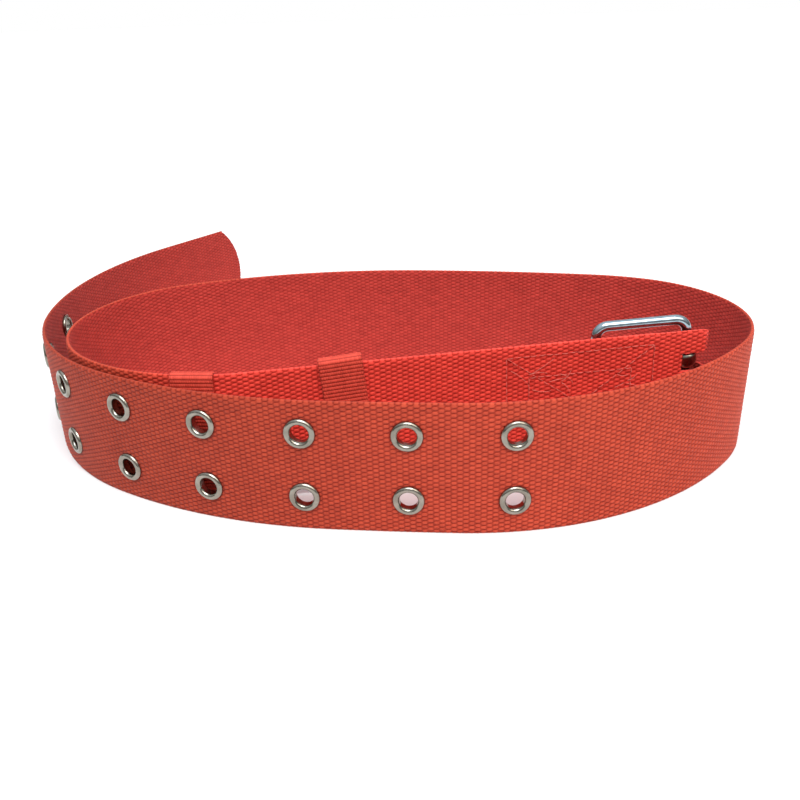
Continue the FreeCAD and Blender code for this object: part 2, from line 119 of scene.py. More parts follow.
CHORD_LIGHT_FADE = 0.05  # the painted light comes in over this length before the chord
INNER_CREVICE_LIGHT = 0.2  # least crown light of the inner face's weave, so its painted shade between the yarns is fainter
INNER_LIGHT_TINT = np.array([1.00, 0.80, 1.20])  # painted light: the strap's inner face, crimson and cooler as under the cooler light inside the coil

STITCH_START = 0.016  # fold's centre to the box stitch
STITCH_LENGTH = 0.056
STITCH_MARGIN = 0.004  # strap's edges to the outer rectangle
STITCH_INSET = 0.0085  # outer rectangle to the inner one
STITCH_PITCH = 0.0029
STITCH_GAP = 0.06  # bare share of the pitch at a stitch's ends, and how far the stitch may shift
STITCH_SWAY = 0.00012
STITCH_SUNK = 0.0003  # depth of its ends in the cloth
STITCH_ARCH = (0.00052, 0.00012)  # height of its middle over its ends, and how much that varies
STITCH_PULL = 0.5  # how hard it presses the cloth, where a flange is 1
STITCH_REACH = 0.0007  # how far the dent spreads
STITCH_FULL = 0.6  # under 1, so a stitch rises steeply at its ends and is flat in its middle
STITCH_BEYOND = 4 * STITCH_PITCH  # its dents are looked for this far past the stitch
THREAD_RADIUS = 0.00015
THREAD_END = 0.45  # a stitch's thickness at its ends, where its middle is 1
WISP_CLUSTERS = [  # distances before the heel bar, heights up the strap, and how many
    ((0.048, 0.072), (0.027, 0.042), 9),
    ((0.024, 0.032), (0.028, 0.038), 4),
]
WISP_RADIUS = 0.00009
WISP_TAPER = 0.5  # how much thinner its far end is
WISP_LENGTH = (0.004, 0.011)
WISP_TURN = 0.7  # radians between its start and the strap's direction, at most
WISP_BEND = 1.6  # radians that it bends along its length, at most
WISP_OVER = 0.00016  # height of its ends over the CAD part's flat face
WISP_ARCH = (0.0002, 0.0007)  # height of its middle over its ends

KEEPERS = {"keeper_snug": (0.0046, 0.0), "keeper_loose": (0.0050, 5.5)}  # outside depth, and lean
KEEPER_WIDTH = 0.0158
KEEPER_THICK = 0.0008
KEEPER_CORNER = 0.0016
KEEPER_SEARCH = 0.03  # how far before the chord a keeper may sit
RIB_PITCH = 0.0015  # keeper tape: ribs across it, and the small yarns in each
GRAIN_PITCH = 0.00085
RIB_DEPTH = 0.00024
GRAIN_DEPTH = 0.00020
RIB_SAMPLES = 6  # mesh columns for each rib, and rows for each small yarn
GRAIN_SAMPLES = 4
TAPE_CROWN = 0.0001  # the ribs' crowns over the CAD loop's face
TAPE_CLEAR = 0.0002  # the inner face keeps this much further from the strap than the CAD loop's
TAPE_INNER = 0.3  # depth of the inner face's relief, where the outer face's is 1
TAPE_CREVICE_LIGHT = 0.42  # least crown light of the tape's weave: painted shade between its ribs
TAPE_GRAIN_SHADE = 0.60  # how much of the painted shade comes between the small yarns
TAPE_BULGE = 0.0003  # roll of the tape's edges
TAPE_INNER_PLACE = 0.05  # shift that gives the tape's inner face its own dye pattern

PRONG_CURL = 0.00309  # mid radius of a prong's curl on the heel bar
PRONG_ARC = (30, 270)  # where the curl starts and ends, in degrees round the bar
PRONG_STEPS = (33, 22)  # points along the curl and along the tongue
PRONG_FLAT = (0.0028, 0.0011)  # half width and half thickness of the curl
PRONG_PINCH = 0.7  # width of the curl's free end, as a share of the rest
PRONG_ROUND = 0.0015  # radius of the tongue
PRONG_SIDE = 0.00365  # the tongue's distance beside the heel bar's axis
PRONG_START = 0.0015  # where the tongue starts and ends, past the heel bar's axis
PRONG_REACH = 0.038
PRONG_NECK = (0.001, 0.011)  # flat stock is drawn out to the round tongue between these distances
PRONG_EASE = 0.008  # the tongue reaches its distance beside the bar by here
FOLD_BACK = 175.2  # from the chord's heading to the frame's
FRAME_LEAN = 3.6  # the far bar hangs lower than the heel bar

CAMERA_AT = Vector((0.005765, -0.377216, 0.16761))
CAMERA_DOWN = 25.0  # degrees under the horizon
CAMERA_ROLL = 1.79
CAMERA_SENSOR = 36  # millimetres, as the lens
CAMERA_LENS = 37.79

HORIZON = (0.20, 0.185, 0.16, 1)
ZENITH = (0.88, 0.95, 1.0, 1)
FLOOR_RADIUS = 14
FLOOR_DROP = 0.0001  # the floor lies this much under the CAD part

random.seed(4)


# ---- the strap's run ----
def fold_stretches():
    """Round the heel bar and back along the strap, as the back layer."""
    lean = math.radians(FOLD_SLOPE)
    across = 2 * HALF + LAYER_GAP
    drop = FOLD_RADIUS * (1 + math.cos(lean)) - FOLD_EASE * (1 - math.cos(lean)) - across
    return [(FOLD_RADIUS, 180 + FOLD_SLOPE), (drop / math.sin(lean),),
            (-FOLD_EASE, -FOLD_SLOPE), (BACK_LAYER,)]


def stretch_length(stretch):
    """Length of one straight or curved stretch."""
    return stretch[0] if len(stretch) == 1 else stretch[0] * math.radians(stretch[1])


def run_length(stretches):
    """Length of stretches that follow each other."""
    return sum(stretch_length(stretch) for stretch in stretches)


ROUTE = TAIL + FRONT_WALL + RIGHT_CURVE + BACK_WALL + INNER_TURN + CHORD + fold_stretches()
TURN_START = run_length(TAIL + FRONT_WALL + RIGHT_CURVE + BACK_WALL)
CHORD_START = TURN_START + run_length(INNER_TURN)
BAR = CHORD_START + run_length(CHORD)
TOTAL = run_length(ROUTE)


def advance(x, y, heading, stretch, distance):
    """Plan place and heading after a distance, or many distances, along one stretch."""
    if len(stretch) == 1:
        return x + distance * math.cos(heading), y + distance * math.sin(heading), heading
    radius = stretch[0]
    end = heading + distance / radius
    along_x = radius * (np.sin(end) - math.sin(heading))
    along_y = radius * (math.cos(heading) - np.cos(end))
    return x + along_x, y + along_y, end


def mid_line(run, start):
    """Plan x, y and heading of the strap's mid-line at these distances from the tip."""
    run = np.asarray(run, float)
    x, y, heading = np.zeros_like(run), np.zeros_like(run), np.zeros_like(run)
    at = start
    begun = 0.0
    for stretch in ROUTE:
        here = run >= begun
        x[here], y[here], heading[here] = advance(*at, stretch, run[here] - begun)
        at = tuple(float(value) for value in advance(*at, stretch, stretch_length(stretch)))
        begun += stretch_length(stretch)
    return x, y, heading


def strap_nodes():
    """Names of the CAD nodes that the one strap is divided into."""
    return sorted(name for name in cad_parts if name.startswith("strap_"))


def find_start():
    """Plan place of the tip, which puts the run on the frame's own strap."""
    loose = (0.0, 0.0, math.radians(START_HEADING))
    x, y, heading = mid_line(np.arange(0, TOTAL, HALF / 2), loose)
    across = np.concatenate([x + HALF * np.sin(heading), x - HALF * np.sin(heading)])
    along = np.concatenate([y - HALF * np.cos(heading), y + HALF * np.cos(heading)])
    boxes = [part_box(name) for name in strap_nodes()]
    middle = [(min(low[i] for low, _ in boxes) + max(high[i] for _, high in boxes)) / 2 for i in (0, 1)]
    return (middle[0] - (across.min() + across.max()) / 2,
            middle[1] - (along.min() + along.max()) / 2,
            loose[2])


START = find_start()
_, TURN_Y, _ = mid_line(TURN_START, START)
CHORD_X, CHORD_Y, CHORD_HEADING = (float(value) for value in mid_line(CHORD_START, START))
BAR_X, BAR_Y, _ = (float(value) for value in mid_line(BAR, START))
SLOPE = (BAR_LIFT - TURN_LIFT) / (BAR - CHORD_START)


def sag(run, rise, x, y):
    """How much lower the strap hangs past the fold: its upper edge most, its lower edge not."""
    behind = (y - BAR_Y) * math.cos(CHORD_HEADING) - (x - BAR_X) * math.sin(CHORD_HEADING)
    return np.where(run > BAR, FOLD_SAG * behind * rise / WIDTH, 0)


def lower_edge(run, x, y):
    """Height of the strap's lower edge: it rises through the inner turn and along the chord."""
    turn = TURN_LIFT * (TURN_Y - y) / (TURN_Y - CHORD_Y)
    forward = (x - CHORD_X) * math.cos(CHORD_HEADING) + (y - CHORD_Y) * math.sin(CHORD_HEADING)
    chord = TURN_LIFT + SLOPE * forward
    return np.select([run < TURN_START, run < CHORD_START], [np.zeros_like(x), turn], chord)


def strap_points(run, rise, outward):
    """Points by distance from the tip, height up the strap and distance outside its mid-line."""
    x, y, heading = mid_line(run, START)
    z = lower_edge(run, x, y) + rise - sag(run, rise, x, y)
    return np.stack([x + outward * np.sin(heading), y - outward * np.cos(heading), z], axis=-1)


# ---- meshes ----
def smoothstep(low, high, value):
    """0 below low, 1 above high, and a smooth step between them."""
    share = np.clip((value - low) / (high - low), 0, 1)
    return share * share * (3 - 2 * share)


def grain(first, second):
    """A fixed value from 0 to 1 for each pair of whole numbers."""
    value = np.sin(first * 12.9898 + second * 78.233) * 43758.5453
    return value - np.floor(value)


def new_object(name, points, groups, attributes=None):
    """A smooth mesh. A group is faces of one size: corner indices, and uv for each corner or None."""
    ids = np.concatenate([faces.ravel() for faces, _ in groups])
    used, ids = np.unique(ids, return_inverse=True)
    sizes = np.concatenate([np.full(len(faces), faces.shape[1]) for faces, _ in groups])
    mesh = bpy.data.meshes.new(name)
    mesh.vertices.add(len(used))
    mesh.vertices.foreach_set("co", points[used].astype(np.float32).ravel())
    mesh.loops.add(len(ids))
    mesh.loops.foreach_set("vertex_index", ids.astype(np.int32).ravel())
    mesh.polygons.add(len(sizes))
    mesh.polygons.foreach_set("loop_start", np.concatenate([[0], np.cumsum(sizes)[:-1]]).astype(np.int32))
    mesh.update(calc_edges=True)
    if groups[0][1] is not None:
        layer = mesh.uv_layers.new(name="UVMap")
        corners = np.concatenate([uv.reshape(-1, 2) for _, uv in groups])
        layer.uv.foreach_set("vector", corners.astype(np.float32).ravel())
    for key, values in (attributes or {}).items():
        kind, field = ("FLOAT", "value") if values.ndim == 1 else ("FLOAT_VECTOR", "vector")
        attribute = mesh.attributes.new(key, kind, "POINT")
        attribute.data.foreach_set(field, values[used].astype(np.float32).ravel())
    mesh.shade_smooth()
    thing = bpy.data.objects.new(name, mesh)
    bpy.context.scene.collection.objects.link(thing)
    return thing


def boundary(present):
    """Grid vertices with both kept and dropped cells round them."""
    cells = np.pad(present, 1)
    kept = sum(cells[a:a + present.shape[0] + 1, b:b + present.shape[1] + 1].astype(int)
               for a in (0, 1) for b in (0, 1))
    return (kept > 0) & (kept < 4)


def cloth_sheet(name, outer, inner, low_rim, high_rim, present, attributes, bands):
    """Two faces over one grid, closed by rolled rims at its long edges and walls round each hole.

    outer and inner are (columns + 1, rows + 1, 3) points, rims (columns + 1, count, 3), and an
    attribute is a pair of arrays for the two faces. The uv lays the columns out in bands.
    """
    columns, rows = present.shape
    count = low_rim.shape[1]
    face_ids = np.arange((columns + 1) * (rows + 1)).reshape(columns + 1, rows + 1)
    rim_ids = np.arange((columns + 1) * count).reshape(columns + 1, count)
    out_ids = face_ids
    in_ids = face_ids + face_ids.size
    low_ids = rim_ids + 2 * face_ids.size
    high_ids = low_ids + rim_ids.size
    points = np.concatenate([p.reshape(-1, 3) for p in (outer, inner, low_rim, high_rim)])

    column = np.arange(columns + 1)[:, None]
    row = np.arange(rows + 1)[None, :] / rows
    rim = 0.03  # share of the face's height given to a rim in the uv
    step = rim * (np.arange(count) + 1)[None, :] / (count + 1)
    lap_parts = (row, 2 + rim - row, -step, 1 + step)
    shapes = ((columns + 1, rows + 1),) * 2 + ((columns + 1, count),) * 2
    lap = np.concatenate([np.broadcast_to(part, shape).ravel() for part, shape in zip(lap_parts, shapes)])
    column_of = np.concatenate([np.broadcast_to(column, shape).ravel() for shape in shapes])

    def cells(ids):
        i, k = np.nonzero(present)
        return np.stack([ids[i, k], ids[i + 1, k], ids[i + 1, k + 1], ids[i, k + 1]], 1)

    faces = [cells(out_ids), cells(in_ids)[:, ::-1]]
    ends = np.pad(present, ((1, 1), (0, 0)))
    for mask, turn in ((~ends[:-1] & ends[1:], 1), (ends[:-1] & ~ends[1:], -1)):
        i, k = np.nonzero(mask)
        wall = np.stack([out_ids[i, k], out_ids[i, k + 1], in_ids[i, k + 1], in_ids[i, k]], 1)
        faces.append(wall[:, ::turn])
    for mask, turn in ((~present[:, :-1] & present[:, 1:], 1), (present[:, :-1] & ~present[:, 1:], -1)):
        i, k = np.nonzero(mask)
        k = k + 1
        wall = np.stack([out_ids[i, k], in_ids[i, k], in_ids[i + 1, k], out_ids[i + 1, k]], 1)
        faces.append(wall[:, ::turn])
    caps = []
    for line, ids, turn in ((0, low_ids, 1), (rows, high_ids, -1)):
        chain = np.concatenate([out_ids[:, line:line + 1], ids, in_ids[:, line:line + 1]], 1)
        kept = present[:, min(line, rows - 1)]
        i = np.nonzero(kept)[0]
        for m in range(count + 1):
            quads = np.stack([chain[i, m], chain[i, m + 1], chain[i + 1, m + 1], chain[i + 1, m]], 1)
            faces.append(quads[:, ::turn])
        padded = np.pad(kept, 1)
        caps.append(chain[~padded[:-1] & padded[1:]][:, ::-turn])
        caps.append(chain[padded[:-1] & ~padded[1:]][:, ::turn])

    per_band = math.ceil(columns / bands)
    inset = 0.01

    def laid_out(ids):
        band = np.minimum(column_of[ids].min(1) // per_band, bands - 1)[:, None]
        u = inset + (1 - 2 * inset) * (column_of[ids] - band * per_band) / per_band
        heights = lap[ids]
        heights = np.where(np.ptp(heights, 1)[:, None] > 1, np.minimum(heights, -rim), heights)
        v = (band + inset + (1 - 2 * inset) * (heights + rim) / (2 + 2 * rim)) / bands
        return np.stack([u, v], -1)

    def per_vertex(pair):
        on_faces = [np.asarray(part) for part in pair]
        tail = on_faces[0].shape[2:]
        low = np.repeat(on_faces[0][:, :1], count, axis=1)
        high = np.repeat(on_faces[0][:, -1:], count, axis=1)
        return np.concatenate([part.reshape((-1,) + tail) for part in (*on_faces, low, high)])

    groups = [(f, laid_out(f)) for f in (np.concatenate(faces), np.concatenate(caps))]
    return new_object(name, points, groups, {key: per_vertex(pair) for key, pair in attributes.items()})


def rolled_rim(place, edge, outward_half, bulge, count=3):
    """Rows of points that roll from one face to the other outside an edge."""
    rows = []
    for number in range(count):
        angle = math.pi * (number + 1) / (count + 1)
        rows.append(place(edge + bulge * math.sin(angle), outward_half * math.cos(angle)))
    return np.stack(rows, axis=1)


def tubes(name, paths, radii, sides, flats=None):
    """Closed tubes along paths, an array (tubes, points, 3). radii is (points, 2): across and thick.

    flats is the direction of the first radius, one for each tube.
    """
    count, length, _ = paths.shape
    ahead = np.gradient(paths, axis=1)
    ahead /= np.linalg.norm(ahead, axis=2, keepdims=True)
    flat = np.broadcast_to(np.array([0.0, 0.0, 1.0]) if flats is None else flats[:, None, :], paths.shape)
    thick = np.cross(ahead, flat)
    thick /= np.linalg.norm(thick, axis=2, keepdims=True)
    flat = np.cross(thick, ahead)
    angles = np.arange(sides) * 2 * math.pi / sides
    across = flat[:, :, None, :] * np.cos(angles)[None, None, :, None] * radii[None, :, None, :1]
    deep = thick[:, :, None, :] * np.sin(angles)[None, None, :, None] * radii[None, :, None, 1:]
    points = (paths[:, :, None, :] + across + deep).reshape(-1, 3)
    ids = np.arange(len(points)).reshape(count, length, sides)
    after = np.roll(ids, -1, axis=2)
    skin = np.stack([ids[:, :-1], after[:, :-1], after[:, 1:], ids[:, 1:]], -1).reshape(-1, 4)
    caps = np.concatenate([ids[:, 0, ::-1], ids[:, -1]])
    return new_object(name, points, [(skin[:, ::-1], None), (caps[:, ::-1], None)])


# ---- materials ----
class Shader:
    """A Principled material with short ways to add nodes."""

    def __init__(self, name, **values):
        self.material = bpy.data.materials.new(name)
        self.material.use_nodes = True
        self.tree = self.material.node_tree
        self.principled = self.tree.nodes["Principled BSDF"]
        for key, value in values.items():
            self.principled.inputs[key.replace("_", " ")].default_value = value

    def node(self, kind, **settings):
        made = self.tree.nodes.new("ShaderNode" + kind)
        for key, value in settings.items():
            if key in made.inputs:
                made.inputs[key].default_value = value
            else:
                setattr(made, key, value)
        return made

    def link(self, source, target):
        self.tree.links.new(source, target)

    def attribute(self, name, output="Fac"):
        return self.node("Attribute", attribute_name=name).outputs[output]

    def noise(self, vector, scale, detail=3.0, stretch=(1, 1, 1)):
        mapping = self.node("Mapping")
        mapping.inputs["Scale"].default_value = stretch
        self.link(vector, mapping.inputs["Vector"])
        texture = self.node("TexNoise", Scale=scale, Detail=detail)
        self.link(mapping.outputs[0], texture.inputs["Vector"])
        return texture.outputs["Fac"]

    def ramp(self, factor, *stops):
        ramp = self.node("ValToRGB")
        elements = ramp.color_ramp.elements
        while len(elements) < len(stops):
            elements.new(0.5)
        for element, (position, colour) in zip(elements, stops):
            element.position = position
            element.color = (*colour, 1)
        self.link(factor, ramp.inputs[0])
        return ramp.outputs[0]

    def mix(self, kind, share, first, second):
        """Mix two colours; share and second may be numbers or colours."""
        made = self.node("Mix", data_type="RGBA", blend_type=kind)
        sockets = (made.inputs["Factor"], made.inputs[6], made.inputs[7])
        for socket, value in zip(sockets, (share, first, second)):
            if isinstance(value, bpy.types.NodeSocket):
                self.link(value, socket)
            else:
                socket.default_value = value
        return made.outputs[2]

    def math(self, operation, first, second):
        made = self.node("Math", operation=operation)
        for socket, value in zip(made.inputs, (first, second)):
            if isinstance(value, bpy.types.NodeSocket):
                self.link(value, socket)
            else:
                socket.default_value = value
        return made.outputs[0]

    def bump(self, height, distance, strength):
        made = self.node("Bump", Distance=distance, Strength=strength)
        self.link(height, made.inputs["Height"])
        self.link(made.outputs[0], self.principled.inputs["Normal"])

    def spread(self, factor, low, high, target):
        made = self.node("MapRange")
        made.inputs["To Min"].default_value = low
        made.inputs["To Max"].default_value = high
        self.link(factor, made.inputs["Value"])
        self.link(made.outputs[0], self.principled.inputs[target])


def cloth(name, gap, side, crown):
    """Woven polyester: painted shade between the yarns, filaments along each yarn, uneven dye."""
    shader = Shader(name, Specular_IOR_Level=0.22, Sheen_Weight=0.04, Sheen_Roughness=0.5)
    place = shader.attribute("place", "Vector")
    # painted shade: the gap and side colours darken the weave where the crown attribute is low, between
    # the yarns
    colour = shader.ramp(shader.attribute("crown"), (0.34, gap), (0.52, side), (0.86, crown))
    tone = shader.ramp(shader.attribute("tone"), (0.0, (0.82, 0.76, 0.76)), (1.0, (1.0, 1.0, 1.0)))
    colour = shader.mix("MULTIPLY", 1.0, colour, tone)
    dye = shader.ramp(shader.noise(place, 45.0, 4.0), (0.3, (0.92, 0.88, 0.88)), (0.7, (1.0, 1.0, 1.0)))
    colour = shader.mix("MULTIPLY", 1.0, colour, dye)
    # the tint attribute carries painted light and shade along the strap and on its inner face
    colour = shader.mix("MULTIPLY", 1.0, colour, shader.attribute("tint", "Color"))
    shader.link(colour, shader.principled.inputs["Base Color"])
    filaments = shader.noise(place, 900.0, 2.0, stretch=(0.6, 9.0, 1.0))
    shader.bump(filaments, 0.00008, 0.55)
    shader.spread(filaments, 0.50, 0.74, "Roughness")
    return shader.material


def thread_material(name, shade, light):
    """Sewing thread: a fine twist, paler than the webbing."""
    shader = Shader(name, Specular_IOR_Level=0.4, Sheen_Weight=0.2)
    place = shader.node("TexCoord").outputs["Object"]
    twist = shader.noise(place, 2600.0, 2.0, stretch=(1.0, 1.0, 2.5))
    colour = shader.ramp(twist, (0.3, shade), (0.75, light))
    shader.link(colour, shader.principled.inputs["Base Color"])
    shader.bump(twist, 0.0001, 0.6)
    shader.spread(twist, 0.45, 0.65, "Roughness")
    return shader.material


def metal(name, dull, bright, roughness, scratch):
    """Plated metal: faint clouding, fine scratches and slightly uneven polish."""
    shader = Shader(name, Metallic=1.0)
    place = shader.node("TexCoord").outputs["Object"]
    cloud = shader.noise(place, 260.0, 3.0)
    colour = shader.ramp(cloud, (0.3, dull), (0.7, bright))
    shader.link(colour, shader.principled.inputs["Base Color"])
    scratches = shader.noise(place, 700.0, 4.0, stretch=(1.0, 1.0, 6.0))
    shader.bump(scratches, 0.00004, scratch)
    shader.spread(cloud, roughness[0], roughness[1], "Roughness")
    return shader.material


def wear(thing, material):
    """Give a mesh object one material."""
    thing.data.materials.clear()
    thing.data.materials.append(material)


# ---- the woven strap ----
def weave(run, rise, flip):
    """Plain weave: cloth height over its mean face, crown light from 0 in the gaps to 1 on the crowns,
    which paints shade between the yarns, and yarn tone.
    """
    end_pitch = (WIDTH - 2 * EDGE) / END_COUNT
    rise = rise - EDGE
    phase = math.pi * run / PICK_PITCH + flip * math.pi
    first = np.floor(rise / end_pitch - 0.5)
    floor_height = -CRIMP - ROUND
    best = np.full(run.shape, floor_height)
    tone = np.full(run.shape, 0.5)
    for step in (-1, 0, 1, 2):
        end = first + step
        lift = np.sin(math.pi / 2 * np.cos(phase + math.pi * end))
        half_width = end_pitch * (YARN_HALF[0] + YARN_HALF[1] * lift)
        share = (rise - (end + 0.5) * end_pitch) / half_width
        back = np.sqrt(np.clip(1 - share * share, 0, None))
        top = CRIMP * lift + ROUND * (back - 1)
        pick = np.round((phase / math.pi + end) / 2)
        top = top + CROWN_UNEVEN * CRIMP * (grain(pick, end) - 0.5) * 2
        wins = (np.abs(share) < 1) & (top > best)
        best = np.where(wins, top, best)
        tone = np.where(wins, grain(pick + TONE_SHIFT, end), tone)
    # crown light: 1 on the crowns, 0 deep between the yarns, where the material paints shade
    crown_light = np.clip((best - floor_height) / (CRIMP - floor_height), 0, 1)
    return best - CRIMP + CROWN, crown_light, tone


def before_bar(run):
    """Distance before the heel bar, measured along the chord."""
    x, y, _ = mid_line(run, START)
    return (BAR_X - x) * math.cos(CHORD_HEADING) + (BAR_Y - y) * math.sin(CHORD_HEADING)


def round_bar(run):
    """1 where the strap goes round the heel bar, close to the frame's corners, and 0 away from it."""
    middle = BAR + math.pi / 2 * FOLD_RADIUS
    return 1 - smoothstep(*FOLD_TIGHT, np.abs(run - middle))


def slot_end():
    """Where the prong slots end in the back layer, as a distance from the tip."""
    after = np.arange(BAR + math.pi * FOLD_RADIUS, TOTAL, PICK_PITCH / 20)
    return after[before_bar(after) > SLOT_BACK][0]


def rectangle(far, near, bottom, top):
    """Corners of a rectangle, as (distance before the bar, height) points."""
    return [(far, bottom), (near, bottom), (near, top), (far, top)]


def stitch_rows():
    """Rows of the box stitch, each between two (distance before the bar, height) points."""
    far = STITCH_START + STITCH_LENGTH
    outer = rectangle(far, STITCH_START, STITCH_MARGIN, WIDTH - STITCH_MARGIN)
    inner = rectangle(far - STITCH_INSET, STITCH_START + STITCH_INSET,
                      STITCH_MARGIN + STITCH_INSET, WIDTH - STITCH_MARGIN - STITCH_INSET)
    rows = [(outer[0], outer[2]), (outer[1], outer[3])]
    for corners in (outer, inner):
        rows += zip(corners, corners[1:] + corners[:1])
    return rows


def stitch_dent(run, rise):
    """How strongly the box stitch pulls the webbing in, from 0 to 1."""
    dent = np.zeros(run.shape)
    near = np.abs(run - BAR) < STITCH_START + STITCH_LENGTH + STITCH_BEYOND
    before = np.abs(before_bar(run[near]))
    height = rise[near]
    pull = np.zeros(before.shape)
    for a, b in stitch_rows():
        length = math.dist(a, b)
        ahead = ((b[0] - a[0]) / length, (b[1] - a[1]) / length)
        along = np.clip((before - a[0]) * ahead[0] + (height - a[1]) * ahead[1], 0, length)
        gap = np.hypot(before - a[0] - along * ahead[0], height - a[1] - along * ahead[1])
        pull = np.maximum(pull, np.exp(-(gap / STITCH_REACH) ** 2))
    dent[near] = pull
    return dent


def strap_grid():
    """The strap's grid as run and rise arrays, and which of its cells are cloth."""
    columns = round(TOTAL / PICK_PITCH * SAMPLES)
    rows = 2 * END_COUNT
    run = np.repeat(np.linspace(0, TOTAL, columns + 1)[:, None], rows + 1, axis=1)
    rise = np.repeat(np.linspace(EDGE, WIDTH - EDGE, rows + 1)[None, :], columns + 1, axis=0)
    run_mid = (run[1:, 1:] + run[:-1, 1:]) / 2
    rise_mid = (rise[1:, 1:] + rise[1:, :-1]) / 2
    present = np.ones((columns, rows), bool)
    circles = [(TIP_RADIUS, WIDTH / 2, TIP_RADIUS, True)]  # run, rise, radius, and if cloth is inside it
    circles += [(at, height, EYELET_CUT, False) for at in EYELET_RUNS for height in EYELET_RISES]
    for at, height, radius, keeps_inside in circles:
        reach = np.hypot(run_mid - at, rise_mid - height)
        dropped = (reach > radius) & (run_mid < at) if keeps_inside else reach < radius
        present &= ~dropped
    x, y, _ = mid_line(run_mid, START)
    level = rise_mid - sag(run_mid, rise_mid, x, y)
    slotted = (run_mid > BAR - SLOT_FRONT) & (run_mid < slot_end())
    for height in SLOT_RISES:
        present &= ~(slotted & (np.abs(level - height) < SLOT_WIDTH / 2))
    border = boundary(present)
    snap = 1.2 * PICK_PITCH / SAMPLES  # border points this near a circle move onto it
    for at, height, radius, keeps_inside in circles:
        reach = np.hypot(run - at, rise - height)
        moved = border & (np.abs(reach - radius) < snap)
        if keeps_inside:
            moved &= run < at
        pull = radius / reach[moved]
        run[moved] = at + (run[moved] - at) * pull
        rise[moved] = height + (rise[moved] - height) * pull
    return run, np.clip(rise, EDGE, WIDTH - EDGE), present


def strap():
    """The whole strap as one woven sheet, with its holes, selvedges and the dents of what is on it."""
    run, rise, present = strap_grid()
    pucker = np.zeros(run.shape)
    for at in EYELET_RUNS:
        for height in EYELET_RISES:
            reach = np.hypot(run - at, rise - height)
            pucker = np.maximum(pucker, 1 - smoothstep(*EYELET_PUCKER, reach))
    pucker = np.maximum(pucker, STITCH_PULL * stitch_dent(run, rise))
    tight = round_bar(run)
    edge_reach = np.minimum(rise, WIDTH - rise) - EDGE
    dropped = SELVEDGE_DROP * (1 - smoothstep(0, SELVEDGE_WIDTH, edge_reach))
    faces, crown_light, tones = [], [], []
    for side, flip in ((1, 0), (-1, 1)):
        height, weave_light, tone = weave(run, rise, flip)
        height = height * (1 - pucker) + PRESSED * pucker - dropped - CROWN * tight
        faces.append(strap_points(run, rise, side * (HALF + height)))
        # painted shade: dents darken the weave's colour, and the inner face keeps less of its painted
        # crevice shade
        weave_light = weave_light * (1 - PRESSED_SHADE * pucker)
        crown_light.append(weave_light if side == 1 else INNER_CREVICE_LIGHT + (1 - INNER_CREVICE_LIGHT) * weave_light)
        tones.append(tone)
    loose = 1 - TIGHT_BULGE * tight[:, 0]
    ripple = SELVEDGE_RIPPLE * loose * np.cos(2 * math.pi * run[:, 0] / PICK_PITCH)
    rims = []
    for column, edge, bulge in ((0, EDGE, -EDGE), (-1, WIDTH - EDGE, UPPER_BULGE * EDGE)):
        line = run[:, column]

        def place(at, outward, line=line, edge=edge):
            swell = ripple * np.sign(at - edge)
            return strap_points(line, at + swell, np.full(line.shape, outward))

        rims.append(rolled_rim(place, edge, HALF - RIM_INSET, bulge * loose))
    spot = np.stack([run, rise, np.zeros(run.shape)], axis=-1)
    # painted light and shade in the tint: brighter towards the sewn end, darker towards the tip, cooler
    # on the inner face
    chord_light = smoothstep(CHORD_START - CHORD_LIGHT_FADE, CHORD_START, run)[..., None]
    tip_end_shade = 1 - smoothstep(*TIP_END_SHADE_RUNS, run)[..., None]
    faded = 1 - chord_light - tip_end_shade
    outer_tint = FADED_TINT * faded + TIP_END_SHADE_TINT * tip_end_shade + CHORD_LIGHT_TINT * chord_light
    inner_light_tint = np.broadcast_to(INNER_LIGHT_TINT, outer_tint.shape)
    attributes = {
        "crown": crown_light,
        "tone": tones,
        "place": (spot, spot + INNER_PLACE),
        "tint": (outer_tint, inner_light_tint),
    }
    thing = cloth_sheet("strap_webbing", *faces, *rims, present, attributes, UV_BANDS)
    wear(thing, WEBBING)
    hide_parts(*strap_nodes())
    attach(thing, "strap")


# ---- thread ----
def strap_axes(heading, slope):
    """Directions along a straight stretch of the strap, up the strap, and out of its outer face."""
    level = np.array([math.cos(heading), math.sin(heading), 0.0])
    ahead = level * math.cos(slope) + np.array([0.0, 0.0, math.sin(slope)])
    out = np.array([math.sin(heading), -math.cos(heading), 0.0])
    return ahead, np.cross(out, ahead), out


CHORD_AHEAD, CHORD_UP, CHORD_OUT = strap_axes(CHORD_HEADING, math.atan(SLOPE))


def on_chord(before, height, outward):
    """Points on the chord by distance before the bar, height and distance outside the mid-line."""
    base = np.array([BAR_X, BAR_Y, BAR_LIFT])
    before, height, outward = (np.asarray(value, float)[..., None] for value in (before, height, outward))
    return base - before * CHORD_AHEAD + height * CHORD_UP + outward * CHORD_OUT


